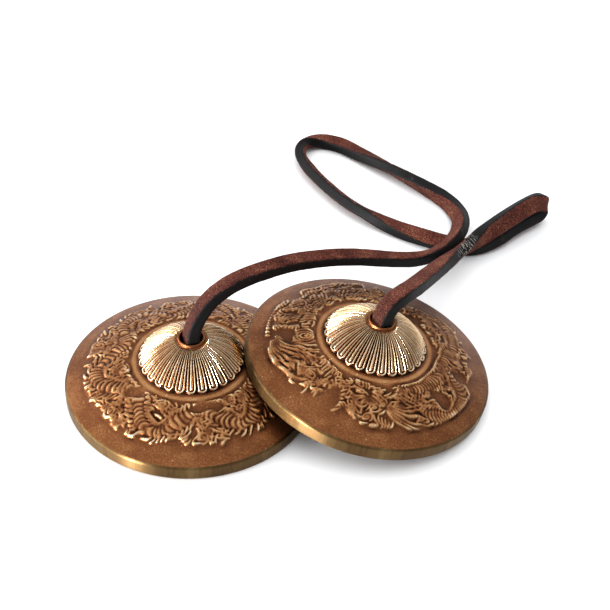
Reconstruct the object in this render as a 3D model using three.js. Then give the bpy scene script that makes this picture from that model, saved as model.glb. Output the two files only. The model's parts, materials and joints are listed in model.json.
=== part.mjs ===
// A pair of finger cymbals (tingsha): two thick cast-bronze bells on one leather thong.
// Millimetres, +Z up. The origin is on the floor, under the middle of the two bells.
// The left bell lies flat. The right one leans on its face, as a pair put down by hand does.
import * as THREE from "three";

// --- Driving dimensions -----------------------------------------------------------------

const BELL = {
  radius: 32, // half of the usual 64 mm (2.5 inch) size
  rimInner: 26.5, // inner edge of the flat land that the bell stands on
  edgeRadius: 30.9, // where the turned rim band meets the face
  edgeHeight: 3.8,
  faceFoot: 15, // radius where the shallow face runs into the dome
  faceFootHeight: 9.1,
  faceBulge: 1.25, // exponent of the face's gentle outward curve
  reliefInner: 16, // the cast relief, here a low plain ring
  reliefOuter: 27,
  reliefHeight: 0.6,
  collarRadius: 3.8,
  collarHeight: 16.6,
  holeRadius: 3.2,
};
const PAIR = {
  left: new THREE.Vector3(-22.16, -2.74, 0), // centre of the flat bell's base
  spacing: 44.75, // between the two bells' base centres, seen from above
  turnDeg: 7, // direction of the right bell from the left one
  leanDeg: 9.3, // lean of the right bell, which puts its rim on the left bell's relief
};
const THONG = {
  diameter: 4, // round stand-in for a 4.8 x 3.4 mm lace
  sides: 8,
  step: 4, // length of one straight stretch of the stand-in
  gap: 0.3, // left between pieces that touch
};
const PIVOT_HEIGHT = 17.1; // the thong bends just above the collar
const NECK_HEIGHT = 15.9; // top of the neck in the hole, clear of the bent stretch above it
const LATHE_STEPS = 72;

// The thong's free route from the left bell's hole, through the hand loop and the narrow
// tip loop, to the right bell's hole. The two ends are the pivots, added below.
const ROUTE = [
  // out of the left bell, over and down to the crossing
  [-21, -1.9, 21.3], [-18.2, 0.3, 25.8], [-13, 4.7, 28.3], [-1, 16.8, 25.8], [8, 26, 21.4],
  [17.2, 33.3, 17.2], [34.6, 43.2, 10.2], [42, 49.4, 8], [47.3, 57, 7.2], [50.4, 66, 5.8],
  // the hand loop, flat on the floor
  [51, 76.2, 3.3], [47.8, 84, 2.1], [40.2, 91.6, 2.1], [20, 109, 2.1], [12.6, 114.2, 2.1],
  [6.2, 115.2, 2.1], [1.4, 111.6, 2.1], [0.8, 105.4, 2.1], [3.4, 98.2, 2.1], [8.6, 89.6, 2.1],
  [19.8, 76.5, 2.1],
  // under the crossing and out to the tip loop, which folds back over itself
  [43.8, 62.9, 2.1], [53, 61.6, 2.1], [60.6, 65.2, 2.1], [67, 71.6, 2.1], [72.8, 77.2, 2.1],
  [75.9, 80.1, 3.1], [77, 81.2, 5.2], [75.9, 80.2, 7.4], [72.8, 77.4, 8.3], [65.4, 70, 8.1],
  // over the crossing and up to the right bell
  [54.2, 58.4, 7.1], [48.2, 49.4, 8.8], [43, 38.4, 12.8], [37.8, 26.4, 17.8],
  [32.8, 14.4, 23.1], [29.2, 7.8, 25.5], [26.2, 4.2, 24.6],
];
// Route points where one stretch of the thong ends and the next begins.
const STRETCHES = [
  { name: "strap_left_run", from: 0, to: 11 },
  { name: "strap_hand_loop", from: 11, to: 22 },
  { name: "strap_tip_loop", from: 22, to: 32 },
  { name: "strap_right_run", from: 32, to: 39 },
];

// --- Materials --------------------------------------------------------------------------

function bronze() {
  return new THREE.MeshStandardMaterial({ color: 0x9a6638, roughness: 0.35, metalness: 1 });
}

function leather() {
  return new THREE.MeshStandardMaterial({ color: 0x4a2018, roughness: 0.7, metalness: 0 });
}

// --- Shapes -----------------------------------------------------------------------------

// A solid of revolution about +Z from [radius, height] pairs, listed up the outside.
function turned(profile) {
  const points = profile.map(([r, z]) => new THREE.Vector2(r, z));
  return new THREE.LatheGeometry(points, LATHE_STEPS).rotateX(Math.PI / 2);
}

// Height of the bell's bare face at a radius between the dome's foot and the rim.
function faceHeight(r) {
  const share = (r - BELL.faceFoot) / (BELL.edgeRadius - BELL.faceFoot);
  return BELL.edgeHeight +
    (BELL.faceFootHeight - BELL.edgeHeight) * (1 - share ** BELL.faceBulge);
}

// The bell's outline from its land up the rim, over the face and the dome to the hole, and
// back down inside. The wall is about 3 mm thick, and the rim is a solid band.
function bellProfile() {
  const { radius, rimInner, edgeRadius, edgeHeight, reliefInner, reliefOuter } = BELL;
  const rim = [
    [rimInner, 0], [radius - 0.3, 0], [radius, 0.4], [radius, 1.9],
    [radius - 0.25, 2.9], [radius - 0.6, 3.5], [edgeRadius, edgeHeight],
  ];
  const face = [[reliefOuter + 0.6, faceHeight(reliefOuter + 0.6)]];
  for (let r = reliefOuter; r >= reliefInner; r -= 2.75)
    face.push([r, faceHeight(r) + BELL.reliefHeight]);
  face.push([BELL.faceFoot, BELL.faceFootHeight]);
  const dome = [
    [12.7, 9.6], [11.6, 11], [10, 12.55], [8, 13.95], [6, 14.95], [4.2, 15.45],
    [BELL.collarRadius, 16.2], [BELL.collarRadius - 0.3, BELL.collarHeight],
    [BELL.holeRadius, BELL.collarHeight - 0.3],
  ];
  const inside = [
    [BELL.holeRadius, 13.4], [5, 12.9], [7, 11.9], [9, 10.2], [10.5, 8.6], [12, 7.3],
    [15, 6.3], [20, 5], [24, 3.3], [rimInner - 0.7, 1.2], [rimInner, 0],
  ];
  return [...rim, ...face, ...dome, ...inside];
}

// The thong's stopper knot under the crown, with the short neck that fills the hole.
function knotProfile() {
  const neck = THONG.diameter / 2;
  return [
    [0, 4.9], [2.6, 5.1], [4.6, 6.6], [5.3, 8.7], [4.9, 10.8], [3.6, 12.3],
    [neck, 12.9], [neck, NECK_HEIGHT], [0, NECK_HEIGHT],
  ];
}

// A regular polygon, the section of a round stand-in.
function roundSection(diameter, sides) {
  const corners = Array.from({ length: sides }, (_, i) => {
    const angle = ((i + 0.5) * 2 * Math.PI) / sides;
    return new THREE.Vector2(Math.cos(angle), Math.sin(angle)).multiplyScalar(diameter / 2);
  });
  return new THREE.Shape(corners);
}

// One stretch of a longer curve, between two lengths along it.
class Stretch extends THREE.Curve {
  constructor(whole, start, end) {
    super();
    Object.assign(this, { whole, start, end });
  }
  getPoint(t, target) {
    const length = this.start + (this.end - this.start) * t;
    return this.whole.getPointAt(length / this.whole.getLength(), target);
  }
}

// --- The assembly -----------------------------------------------------------------------

const cymbals = new THREE.Group();

function place(name, geometry, material, parent) {
  const mesh = new THREE.Mesh(geometry, material);
  mesh.name = name;
  parent.add(mesh);
}

// A bell and the knot inside it share one tilted group. It gives back its pivot's place.
function addBell(side, centre, leanDeg) {
  const turn = THREE.MathUtils.degToRad(PAIR.turnDeg);
  const leanAxis = new THREE.Vector3(-Math.sin(turn), Math.cos(turn), 0);
  const bell = new THREE.Group();
  bell.position.copy(centre);
  bell.quaternion.setFromAxisAngle(leanAxis, THREE.MathUtils.degToRad(leanDeg));
  place(`cymbal_${side}`, turned(bellProfile()), bronze(), bell);
  place(`knot_${side}`, turned(knotProfile()), leather(), bell);
  cymbals.add(bell);
  return new THREE.Vector3(0, 0, PIVOT_HEIGHT).applyQuaternion(bell.quaternion).add(centre);
}

const turn = THREE.MathUtils.degToRad(PAIR.turnDeg);
const lean = THREE.MathUtils.degToRad(PAIR.leanDeg);
const rightCentre = new THREE.Vector3(Math.cos(turn), Math.sin(turn), 0)
  .multiplyScalar(PAIR.spacing)
  .add(PAIR.left)
  .setZ((BELL.radius - 0.3) * Math.sin(lean)); // its lowest edge stands on the floor
const leftPivot = addBell("left", PAIR.left, 0);
const rightPivot = addBell("right", rightCentre, PAIR.leanDeg);

const routePoints = [leftPivot, ...ROUTE.map((p) => new THREE.Vector3(...p)), rightPivot];
const route = new THREE.CatmullRomCurve3(routePoints, false, "centripetal");
const finePerPoint = 50;
route.arcLengthDivisions = finePerPoint * (routePoints.length - 1);
const lengthAt = route.getLengths();

for (const { name, from, to } of STRETCHES) {
  const start = lengthAt[from * finePerPoint] + THONG.gap / 2;
  const end = lengthAt[to * finePerPoint] - THONG.gap / 2;
  const tube = new THREE.ExtrudeGeometry(roundSection(THONG.diameter, THONG.sides), {
    extrudePath: new Stretch(route, start, end),
    steps: Math.round((end - start) / THONG.step),
  });
  place(name, tube, leather(), cymbals);
}

export default cymbals;
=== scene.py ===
# %% [markdown]
# # A pair of finger cymbals on a leather thong
# Two thick bells of cast bronze hang on one leather thong. Each bell has a petalled dome, a
# shallow face with a cast relief, and a turned rim band. The thong runs out of the left bell,
# round a hand loop, back through a narrow tip loop and down into the right bell.
# The imported CAD model is loaded first, as a frame that never moves. Each bell and knot made
# here rides on one of its bodies, and every finer piece stands for its plain CAD solid.

# %% Load the CAD frame
import json
import math

import bpy
import numpy as np
from mathutils import Matrix, Vector


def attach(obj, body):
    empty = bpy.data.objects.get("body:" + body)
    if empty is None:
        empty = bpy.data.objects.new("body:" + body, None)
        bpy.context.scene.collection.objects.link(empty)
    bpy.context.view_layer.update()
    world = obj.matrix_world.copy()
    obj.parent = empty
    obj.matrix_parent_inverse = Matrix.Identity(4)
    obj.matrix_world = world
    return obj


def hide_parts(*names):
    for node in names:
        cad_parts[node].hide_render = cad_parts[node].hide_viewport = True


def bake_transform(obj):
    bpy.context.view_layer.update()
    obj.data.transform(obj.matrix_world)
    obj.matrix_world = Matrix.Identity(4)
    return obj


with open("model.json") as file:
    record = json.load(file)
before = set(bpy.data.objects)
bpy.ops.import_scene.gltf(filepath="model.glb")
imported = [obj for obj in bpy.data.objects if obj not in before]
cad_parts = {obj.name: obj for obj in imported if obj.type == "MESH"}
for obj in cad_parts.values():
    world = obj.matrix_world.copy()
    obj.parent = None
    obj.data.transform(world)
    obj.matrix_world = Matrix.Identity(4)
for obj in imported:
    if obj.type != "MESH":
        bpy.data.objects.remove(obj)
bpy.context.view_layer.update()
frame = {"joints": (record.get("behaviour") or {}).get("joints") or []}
MM = 0.001

# %% [markdown]
# ## The camera and the two helpers
# The camera stands in front of the pair and looks down at 40 degrees, turned about 4 degrees
# on its own axis, as a hand-held one is. Its lens is a long one, so that shapes stay true.
# One helper adds a node of any kind to any tree, and one turns a hex colour to linear light.

# %% Camera
AIM = Vector((5.49, 32.09, 0)) * MM
STAND = Vector((5.49, -211.9, 206.0)) * MM
ROLL = math.radians(3.92)
LENS_MM = 66.97
SENSOR_MM = 36

camera_data = bpy.data.cameras.new("camera")
camera_data.lens, camera_data.sensor_width = LENS_MM, SENSOR_MM
camera_data.clip_start, camera_data.clip_end = 0.01, 20
camera = bpy.data.objects.new("camera", camera_data)
bpy.context.scene.collection.objects.link(camera)
turned_camera = (AIM - STAND).to_track_quat("-Z", "Y").to_matrix() @ Matrix.Rotation(ROLL, 3, "Z")
camera.matrix_world = Matrix.Translation(STAND) @ turned_camera.to_4x4()
bpy.context.scene.camera = camera
print("camera stands", round((STAND - AIM).length / MM), "mm away")


# %% Helpers for nodes and colours
def linear(hex_colour):
    """A linear RGBA colour from an sRGB hex value."""
    parts = [int(hex_colour[i:i + 2], 16) / 255 for i in (1, 3, 5)]
    return tuple(c / 12.92 if c <= 0.04045 else ((c + 0.055) / 1.055) ** 2.4
                 for c in parts) + (1.0,)


def socket(sockets, name):
    """The socket in use with that name, or the one at that place."""
    if isinstance(name, int):
        return sockets[name]
    return next(s for s in sockets if s.name == name and s.enabled)


def add(tree, kind, links=None, out=None, **settings):
    """Adds a node. Settings are its own properties. Links feed its inputs, each from a
    socket or with a constant. It gives back its first output in use, or the named one."""
    node = tree.nodes.new(kind)
    for name, value in settings.items():
        setattr(node, name, value)
    for name, value in (links or {}).items():
        target = socket(node.inputs, name)
        if isinstance(value, bpy.types.NodeSocket):
            tree.links.new(value, target)
        else:
            target.default_value = value
    if out is not None:
        return socket(node.outputs, out)
    return next((s for s in node.outputs if s.enabled), node)


print("white is", linear("#ffffff"))

# %% [markdown]
# ## The bells' places
# Both bells come from one mould, so one shape is made about the Z axis and then set in its
# place. The left bell lies flat, and the right one leans on its face at a few degrees.
# Both places come from the CAD model's own joints: the spin joint's axis is the bell's axis,
# and the bell's base is one pivot height below the joint.

# %% Where each bell stands
PIVOT_HEIGHT = 17.1
joints = {j["name"]: j for j in frame["joints"]}


def bell_place(side):
    """The matrix, in mm, that takes a bell from its own axis to its place."""
    joint = joints[side + "_spin"]
    axis = Vector(joint["axis"]).normalized()
    tilt = Vector((0, 0, 1)).rotation_difference(axis).to_matrix().to_4x4()
    base = Vector(joint["pos_m"]) / MM - axis * PIVOT_HEIGHT
    return Matrix.Translation(base) @ tilt


PLACES = {side: bell_place(side) for side in ("left", "right")}
for side, place in PLACES.items():
    print(side, "bell's base centre in mm:", [round(x, 2) for x in place.to_translation()])

# %% [markdown]
# ## The cast relief
# The face of each bell carries a low relief, at most 0.8 mm high: a scaled serpent's body
# among flames, curls and cloud strokes. It is a free design in the old Himalayan manner. A
# foundry cuts such a design into the mould with rounded gouges, so every line here is one
# rounded stroke. The strokes are drawn on a fine height map of the face, where the highest
# stroke wins, and the map is then read at each point of the bell's mesh.

# %% The height map and its strokes
RELIEF_TOP = 0.8
RELIEF_INNER, RELIEF_OUTER = 15.4, 27.4
DRAWN = 0.05  # mm: a stroke higher than this counts as drawn
MAP_STEP, MAP_HALF = 0.1, 28.5
map_line = np.arange(-MAP_HALF, MAP_HALF + MAP_STEP / 2, MAP_STEP)
MAP_X, MAP_Y = np.meshgrid(map_line, map_line)
MAP_R = np.hypot(MAP_X, MAP_Y)


def polar(radius, degrees):
    """A point of the face from its radius in mm and its direction in degrees."""
    angle = np.radians(degrees)
    return np.stack([radius * np.cos(angle), radius * np.sin(angle)], -1)


def window(points, reach):
    """The part of the map that a shape can touch, as a pair of slices."""
    low = (np.min(points, 0) - reach + MAP_HALF) / MAP_STEP
    high = (np.max(points, 0) + reach + MAP_HALF) / MAP_STEP
    (x0, y0), (x1, y1) = np.clip(low, 0, None).astype(int), np.ceil(high).astype(int) + 1
    return slice(y0, y1), slice(x0, x1)


def follow(points, reach):
    """Yields each segment's window, distance, share along the line and side."""
    points = np.asarray(points, float)
    for k, (a, b) in enumerate(zip(points[:-1], points[1:])):
        part = window([a, b], reach)
        run = b - a
        x, y = MAP_X[part] - a[0], MAP_Y[part] - a[1]
        t = np.clip((x * run[0] + y * run[1]) / (run @ run), 0, 1)
        x, y = x - t * run[0], y - t * run[1]
        side = np.sign(run[0] * y - run[1] * x)
        yield part, np.hypot(x, y), (k + t) / (len(points) - 1), side


def stroke(field, points, width, height, taper=0.75):
    """Raises one gouge stroke: rounded across, and thinner towards its two ends."""
    for part, distance, along, _ in follow(points, width + MAP_STEP):
        half = width * (1 - taper * np.abs(2 * along - 1) ** 2.5)
        rise = height * np.clip(1 - (distance / half) ** 2, 0, 1) ** 0.7
        field[part] = np.maximum(field[part], rise)


def arc(start, heading, length, bend, count=9):
    """Points of a curved stroke: it sets off along heading and turns by bend degrees."""
    turns = np.radians(heading + bend * np.linspace(0, 1, count))
    steps = np.stack([np.cos(turns), np.sin(turns)], -1) * length / (count - 1)
    return np.vstack([start, start + np.cumsum(steps[:-1], 0)])


def curl(field, centre, size, start, turns=1.6, way=1, width=0.33, height=0.58):
    """A spiral scroll that ends in a small boss."""
    share = np.linspace(0, 1, 30)
    angle = start + way * 360 * turns * share
    stroke(field, centre + polar(size * (1 - 0.8 * share), angle), width, height, 0.5)
    stroke(field, [centre, centre + [0.05, 0]], 0.42, height, 0)


def rings(field, centre, radii, height=0.55):
    """Concentric round ridges with a boss in the middle."""
    for radius in radii:
        stroke(field, centre + polar(radius, np.linspace(0, 360, 30)), 0.32, height, 0)
    stroke(field, [centre, centre + [0.05, 0]], 0.5, height, 0)


def comb(field, path, length, slant, pitch=1.0, bend=35, offset=0.0, height=0.56, width=0.34):
    """A row of short curved strokes that lean away from a line, as flames or fins do."""
    path = np.asarray(path, float)
    runs = np.hypot(*np.diff(path, axis=0).T)
    total = np.concatenate([[0], np.cumsum(runs)])
    for at in np.arange(pitch / 2, total[-1], pitch):
        k = min(np.searchsorted(total, at) - 1, len(runs) - 1)
        along = (path[k + 1] - path[k]) / runs[k]
        point = path[k] + along * (at - total[k])
        point = point + offset * np.array([-along[1], along[0]])
        heading = math.degrees(math.atan2(along[1], along[0])) + slant
        stroke(field, arc(point, heading, length, bend), width, height)


def fan(field, start, heading, spread, length, count, bend, width=0.36, height=0.56):
    """A sheaf of long strokes from one root, as in a mane, a tail or a leaf."""
    for share in np.linspace(-0.5, 0.5, count):
        root = start + polar(1.6 * share, heading + 90)
        reach = length * (1 - 0.35 * abs(share))
        stroke(field, arc(root, heading + spread * share, reach, bend * (1 + share), 14),
               width, height, 0.85)


def smooth_line(points, count=260):
    """A smooth line through a few points, evenly spaced."""
    points = np.asarray(points, float)
    knots = np.concatenate([[0], np.cumsum(np.hypot(*np.diff(points, axis=0).T) ** 0.5)])
    padded = np.vstack([2 * points[0] - points[1], points, 2 * points[-1] - points[-2]])
    fine = np.linspace(0, knots[-1], count)
    k = np.clip(np.searchsorted(knots, fine, side="right") - 1, 0, len(points) - 2)
    t = ((fine - knots[k]) / (knots[k + 1] - knots[k]))[:, None]
    a, b, c, d = padded[k], padded[k + 1], padded[k + 2], padded[k + 3]
    return 0.5 * (2 * b + (c - a) * t + (2 * a - 5 * b + 4 * c - d) * t ** 2
                  + (3 * b - a - 3 * c + d) * t ** 3)


def body(field, line, half_width=1.9, pitch=1.05, bow=0.55, low=0.2, high=0.6):
    """The serpent's body: a crowned band crossed by bowed scale ridges."""
    line = smooth_line(line)
    length = np.hypot(*np.diff(line, axis=0).T).sum()
    near = np.full_like(field, np.inf)
    for part, distance, along, _ in follow(line, half_width + MAP_STEP):
        half = half_width * np.clip(4 * np.minimum(along, 1 - along) + 0.35, 0, 1)
        across = np.clip(distance / half, 0, 1)
        phase = along * length / pitch + bow * across ** 2
        ridge = (0.5 + 0.5 * np.cos(2 * np.pi * phase)) ** 0.8
        crown = (1 - across ** 2) ** 0.35
        rise = np.where(distance < half, crown * (low + (high - low) * ridge), 0)
        closer = distance < near[part]
        field[part] = np.where(closer & (rise > 0), np.maximum(rise, 0), field[part])
        near[part] = np.minimum(near[part], distance)
    return line


def clear(field, centre, size, turn):
    """Wipes an oval patch back to the bare face, with a soft edge."""
    angle = math.radians(turn)
    x, y = MAP_X - centre[0], MAP_Y - centre[1]
    along = (x * math.cos(angle) + y * math.sin(angle)) / size[0]
    across = (y * math.cos(angle) - x * math.sin(angle)) / size[1]
    field *= np.clip((np.hypot(along, across) - 0.85) / 0.3, 0, 1)


def soften(field, rounds):
    """Blurs the map a little, as metal rounds off what it fills."""
    for _ in range(rounds):
        for line in (0, 1):
            field = (np.roll(field, 1, line) + 2 * field + np.roll(field, -1, line)) / 4
    return field


def read_map(field, x, y):
    """The height map's value at each point, blended between its four neighbours."""
    u, v = (np.clip((c + MAP_HALF) / MAP_STEP, 0, len(map_line) - 2) for c in (x, y))
    i, j = u.astype(int), v.astype(int)
    a, b = u - i, v - j
    return ((field[j, i] * (1 - a) + field[j, i + 1] * a) * (1 - b)
            + (field[j + 1, i] * (1 - a) + field[j + 1, i + 1] * a) * b)


def swell(seed, size):
    """A smooth random field from about -1 to 1, with swells about size mm apart."""
    waves = 16
    chance = np.random.default_rng(seed)
    field = np.zeros_like(MAP_X)
    for _ in range(waves):
        turn, start = chance.uniform(0, 2 * np.pi, 2)
        wave = 2 * np.pi / (size * chance.uniform(0.7, 1.5))
        field += np.cos(wave * (MAP_X * np.cos(turn) + MAP_Y * np.sin(turn)) + start)
    return field / (waves / 3.2)


def fill_with_strokes(field, seed, count, inside):
    """Small cloud strokes in the free ground, in groups that lean the same way."""
    chance = np.random.default_rng(seed)
    for _ in range(count):
        root = polar(chance.uniform(RELIEF_INNER + 1, RELIEF_OUTER - 1.5),
                     chance.uniform(0, 360))
        heading, bend = chance.uniform(0, 360), chance.choice([-70, 70])
        across = polar(0.95, heading + 90)
        for row in range(4):
            start = root + row * across
            i = ((start + MAP_HALF) / MAP_STEP).astype(int)
            if inside[i[1], i[0]] and field[i[1], i[0]] < 0.1:
                stroke(field, arc(start, heading, 2.3, bend), 0.38, 0.5)


print("height map:", MAP_X.shape, "points of", MAP_STEP, "mm")

# %% [markdown]
# ### The two designs
# On the left bell the serpent winds right round the dome, with fins along both sides and a
# curl in each bend. On the right bell it is shorter, among long flame strokes, rings and
# curls, and the face shows bare between them. Each shape is placed by its radius and
# direction on the face, or by x and y in millimetres from the bell's axis.

# %% The left bell's design


def ground(inner, outer, wave, waves, phase):
    """Where the face is decorated: a ring with a gently waving outer edge."""
    angle = np.degrees(np.arctan2(MAP_Y, MAP_X))
    edge = outer + wave * np.sin(np.radians(waves * angle + phase))
    return np.clip((MAP_R - inner) / 0.6, 0, 1) * np.clip((edge - MAP_R) / 0.5, 0, 1)


def left_design():
    field = np.zeros_like(MAP_X)
    waves = 6.3
    turn = np.arange(25, -300, -5.0)
    wind = polar(21.0 + 3.1 * np.sin(np.radians(waves * turn + 40)), turn)
    line = smooth_line(wind)
    comb(field, line, 2.3, 62, pitch=1.15, offset=1.4, bend=-45, width=0.42)
    comb(field, line[::-1], 2.3, 62, pitch=1.15, offset=1.4, bend=-45, width=0.42)
    body(field, wind, half_width=1.6, pitch=1.25)
    for bend in range(-10, 2):  # a curl in each bend, now outside and now inside the body
        outside = bend % 2
        centre = polar(25.0 if outside else 17.2, (50 + 180 * bend) / waves)
        curl(field, centre, 1.7, 50 * bend, way=1 if outside else -1, width=0.4)
    inside = ground(15.8, 26.6, 0.6, 9, 30)
    fill_with_strokes(field, 7, 900, inside > 0.9)
    clear(field, polar(17.0, -133), (3.6, 1.9), 25)
    clear(field, polar(17.2, -72), (4.2, 1.3), 18)
    return field, inside


DESIGNS = {"left": left_design()}
print("left design:", round((DESIGNS["left"][0] > DRAWN).mean() * 100), "% of the map is drawn")

# %% The right bell's design


def right_design():
    field = np.zeros_like(MAP_X)
    # flames and a mane at the left
    for radius, low, high in ((26.6, 152, 184), (23.4, 118, 160), (20.4, 104, 150)):
        line = polar(radius, np.arange(high, low, -2.0))
        comb(field, line, 2.1, 62 if radius < 25 else 90, pitch=1.15, bend=-40, width=0.4)
    comb(field, polar(25.2, np.arange(140, 96, -2.0)), 2.6, 50, pitch=1.2, bend=-50, width=0.42)
    rings(field, np.array([-17.6, -2.6]), (1.1, 1.9, 2.7))
    fan(field, np.array([-25.4, -3.2]), -62, 30, 13.0, 6, 34, width=0.46)
    stroke(field, smooth_line([(-26.2, -6.5), (-24.2, -11.2), (-20.6, -14.6), (-16.9, -16.4)], 24),
           0.75, 0.6, 0.5)
    fan(field, np.array([-20.5, -5.8]), -40, 40, 8.5, 5, 30)
    # curls and a small comb at the front left
    curl(field, np.array([-15.3, -15.0]), 1.5, 40)
    curl(field, np.array([-14.6, -18.5]), 1.7, 200, way=-1)
    curl(field, np.array([-12.2, -16.6]), 1.2, 120)
    comb(field, [(-8.9, -20.4), (-7.6, -17.6), (-6.8, -15.8)], 2.0, -70, pitch=1.0, bend=40)
    # cloud scrolls and a tail of flames at the front
    for centre, size, start, way in (((-2.9, -21.4), 1.5, 30, 1), ((0.2, -22.6), 1.6, 190, -1),
                                     ((-0.9, -24.6), 1.2, 300, 1), ((2.2, -20.9), 1.1, 90, 1),
                                     ((-4.6, -23.4), 1.0, 250, -1)):
        curl(field, np.array(centre), size, start, way=way)
    fan(field, np.array([3.4, -21.8]), -16, 30, 12.5, 6, 34, width=0.44)
    fan(field, np.array([4.6, -17.2]), -4, 22, 9.0, 4, -26)
    # the serpent's body at the right, and its loop round a bare patch
    high_loop = [(5.4, -16.4), (10.2, -14.9), (14.5, -10.8), (17.6, -5.2), (19.8, 0.8),
                 (21.2, 6.6), (20.4, 12.4), (17.0, 16.8)]
    low_loop = [(18.6, -3.6), (21.9, -8.2), (23.2, -13.2), (21.0, -17.4), (16.4, -19.7),
                (12.0, -20.2)]
    for points in (high_loop, low_loop):
        line = smooth_line(points)
        comb(field, line, 1.9, 58, pitch=0.95, offset=1.4, bend=-40, height=0.5)
        comb(field, line[::-1], 1.9, 58, pitch=0.95, offset=1.4, bend=-40, height=0.5)
        body(field, points, half_width=1.6, pitch=0.95, high=0.54)
    fan(field, np.array([18.5, 13.0]), 118, 50, 10.0, 6, 30, height=0.36)
    # bosses and curls at the back
    curl(field, np.array([-3.0, 19.4]), 1.8, 0)
    curl(field, np.array([1.6, 21.6]), 1.5, 180, way=-1)
    comb(field, polar(18.2, np.arange(120, 60, -2.0)), 1.8, 55, pitch=1.1, bend=-40)
    inside = ground(15.8, 26.4, 0.7, 7, 0)
    fill_with_strokes(field, 11, 520, inside > 0.9)
    clear(field, (-22.6, -0.9), (3.1, 1.7), -28)
    clear(field, (16.9, -14.6), (3.0, 1.9), -8)
    clear(field, (23.2, -5.2), (2.1, 1.9), 70)
    clear(field, (-10.6, -20.9), (2.2, 3.4), -28)
    clear(field, (10.5, 23.0), (9.5, 3.2), -28)
    return field, np.clip(inside + (field > DRAWN), 0, 1)


DESIGNS["right"] = right_design()
print("right design:", round((DESIGNS["right"][0] > DRAWN).mean() * 100), "% of the map is drawn")

# %% Both designs made into heights
STRAY = 0.5  # mm: how far a line strays from where it was meant
BROAD = 60  # rounds of softening that leave only the ground under the strokes
WEAR_HEIGHT = 0.42  # mm: a stroke that stands this far above its ground is rubbed bright


def finished_map(field, inside, seed):
    """Height in mm over the bare face, and how worn each point is, from 0 to 1."""
    # a hand-cut mould: no line is quite where it was meant, or quite as deep
    field = read_map(field, MAP_X + STRAY * swell(seed, 6), MAP_Y + STRAY * swell(seed + 1, 6))
    field = soften(field * (0.85 + 0.35 * swell(seed + 2, 4)), 2)
    # the strokes stand on a low, uneven pad of their own
    pad = soften(np.clip(2.4 * soften((field > DRAWN) * inside, 50), 0, 1), 6)
    height = pad * (0.12 + 0.1 * swell(seed + 3, 7)) + 1.2 * field
    height = RELIEF_TOP * np.tanh(height / RELIEF_TOP)
    height = np.maximum(height, 0.7 * soften(height, BROAD))
    edge = np.clip((MAP_R - RELIEF_INNER) / 0.7, 0, 1) * np.clip((27.6 - MAP_R) / 0.5, 0, 1)
    height = height * edge
    proud = height - soften(height, BROAD)
    return height, np.clip(0.42 + proud / WEAR_HEIGHT, 0, 1)


RELIEF_MAPS = {side: finished_map(*DESIGNS[side], seed)
               for side, seed in (("left", 21), ("right", 31))}
for side, (height, _) in RELIEF_MAPS.items():
    share = (height > DRAWN)[(MAP_R > RELIEF_INNER) & (MAP_R < RELIEF_OUTER)].mean()
    print(side, "relief: top", round(height.max(), 2), "mm, covers", round(share * 100), "%")

# %% [markdown]
# ## The cast bell
# A bell is a shape that follows a rule: one outline turned about an axis. Its wall is about
# 3 mm thick, and the rim is a solid band. The mesh is a ring of points for each step of the
# outline, close together where the relief and the petals need it and wide apart inside.
# Each point also keeps its own radius, angle, distance from the collar and outward
# direction as attributes, which the Geometry Nodes tree and the materials read.

# %% The outline
RING_POINTS = 700  # 25 for each petal
INSIDE_POINTS = RING_POINTS // 4
FACE_FOOT, FACE_FOOT_HEIGHT = 15.0, 9.1
FOOT_RING_RADIUS, FOOT_SPREAD, FOOT_POLISH_AND_PAINTED_HIGHLIGHT = 13.6, 1.6, 0.13  # a paler ring round the dome's foot: partly hand polish, partly a painted highlight
DOME_SHINE, COLLAR_SHINE = 0.5, 0.42
EDGE_RADIUS, EDGE_HEIGHT = 31.7, 3.5


def face_height(radius):
    """Height of the bare face between the dome's foot and the rim."""
    share = (np.asarray(radius, float) - FACE_FOOT) / (EDGE_RADIUS - FACE_FOOT)
    return EDGE_HEIGHT + (FACE_FOOT_HEIGHT - EDGE_HEIGHT) * (1 - np.clip(share, 0, 1) ** 1.25)


land_and_band = [
    (26.5, 0), (29.2, 0), (31.6, 0), (31.82, 0.06), (31.95, 0.2), (32, 0.45), (32, 1.2),
    (32, 2.1), (32, 2.8), (31.99, 2.98), (31.96, 3.12), (31.91, 3.24), (31.84, 3.34),
    (31.76, 3.42), (31.66, 3.48),
]
bare_edge = [(r, float(face_height(r))) for r in (31.5, 31, 30.1, 29.3, 28.4, 27.7)]
relief_rings = [(r, float(face_height(r))) for r in np.arange(27.4, 15.1, -0.2)]
dome_line = smooth_line([(15.1, 9.08), (13.9, 9.25), (13.05, 9.6), (12.45, 10.2),
                         (11.6, 11.05), (10, 12.6), (8, 14.0), (6, 14.97), (3.85, 15.6)], 44)
collar = [(3.66, 15.72), (3.56, 15.86), (3.52, 16.1), (3.47, 16.34), (3.36, 16.5),
          (3.2, 16.55), (3.03, 16.5), (2.89, 16.35), (2.82, 16.0)]
outside = np.array(land_and_band + bare_edge + relief_rings + dome_line.tolist() + collar)
inside_line = np.array([
    (2.82, 15), (2.9, 13.5), (3.5, 13.2), (5, 12.9), (7, 11.9), (9, 10.2), (10.5, 8.6),
    (12, 7.3), (15, 6.3), (20, 5), (24, 3.3), (25.8, 1.2), (26.4, 0.15),
])
BAND_RINGS = len(land_and_band)
print("outline:", len(outside), "rings outside,", len(inside_line), "inside")


# %% The plain turned mesh with its attributes
def ring(radius, height, count):
    angle = np.arange(count) * 2 * np.pi / count
    return np.stack([radius * np.cos(angle), radius * np.sin(angle),
                     np.full(count, height)], -1)


def attribute(mesh, name, kind, values, domain="POINT"):
    """Stores one value, or one vector, for each point of a mesh."""
    made = mesh.attributes.new(name, kind, domain)
    key = "vector" if kind == "FLOAT_VECTOR" else "value"
    made.data.foreach_set(key, np.ascontiguousarray(values, np.float32).ravel())


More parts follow.
